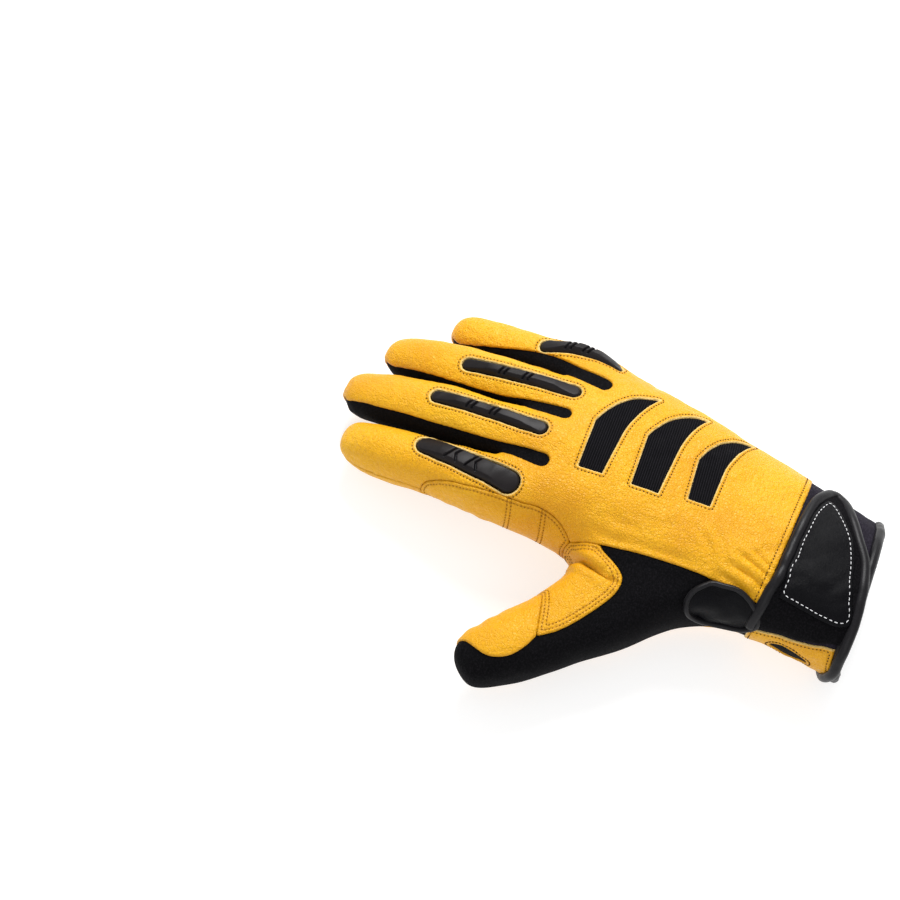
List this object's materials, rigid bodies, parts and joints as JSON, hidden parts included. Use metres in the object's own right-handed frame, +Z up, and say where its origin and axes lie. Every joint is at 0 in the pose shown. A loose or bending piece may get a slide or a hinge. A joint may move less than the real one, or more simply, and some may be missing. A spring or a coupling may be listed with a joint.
{
  "type": "climbing glove",
  "caption": "Full-finger climbing glove in yellow leather and black stretch fabric, with knuckle pads, ribbed vents, a closure strap with a pull tab and an open cuff.",
  "frame": {"origin": "middle of the palm's flat underside, where the glove rests", "axes": "+Y towards the fingertips, +X towards the little finger, +Z up through the back of the hand"},
  "size_m": [0.1533, 0.2308, 0.0478],
  "materials": {
    "leather": "matte yellow goat leather with fine grain and dark stitching",
    "stretch": "matte black stretch fabric",
    "ribbed": "matte black ribbed knit",
    "rubber": "dark grey moulded rubber, satin",
    "piping": "dark purple-grey woven binding"
  },
  "bodies": {
    "root": {"back_panel": "leather", "palm_panel": "leather", "palm_patch": "leather", "side_patch": "leather", "web_patch": "leather", "thumb_leather": "leather", "thumb_back": "stretch", "fourchette_index_middle": "stretch", "fourchette_middle_ring": "stretch", "fourchette_ring_pinky": "stretch", "vent_insert_1": "ribbed", "vent_insert_2": "ribbed", "vent_insert_3": "ribbed", "knuckle_pad_index": "rubber", "knuckle_pad_middle": "rubber", "knuckle_pad_ring": "rubber", "knuckle_pad_pinky": "rubber", "cuff_band": "stretch", "gusset": "leather", "gusset_insert": "stretch", "cuff_binding": "piping", "closure_strap": "stretch", "strap_binding": "piping", "strap_patch": "stretch", "pull_tab": "stretch", "tab_binding": "piping"}
  },
  "joints": []
}
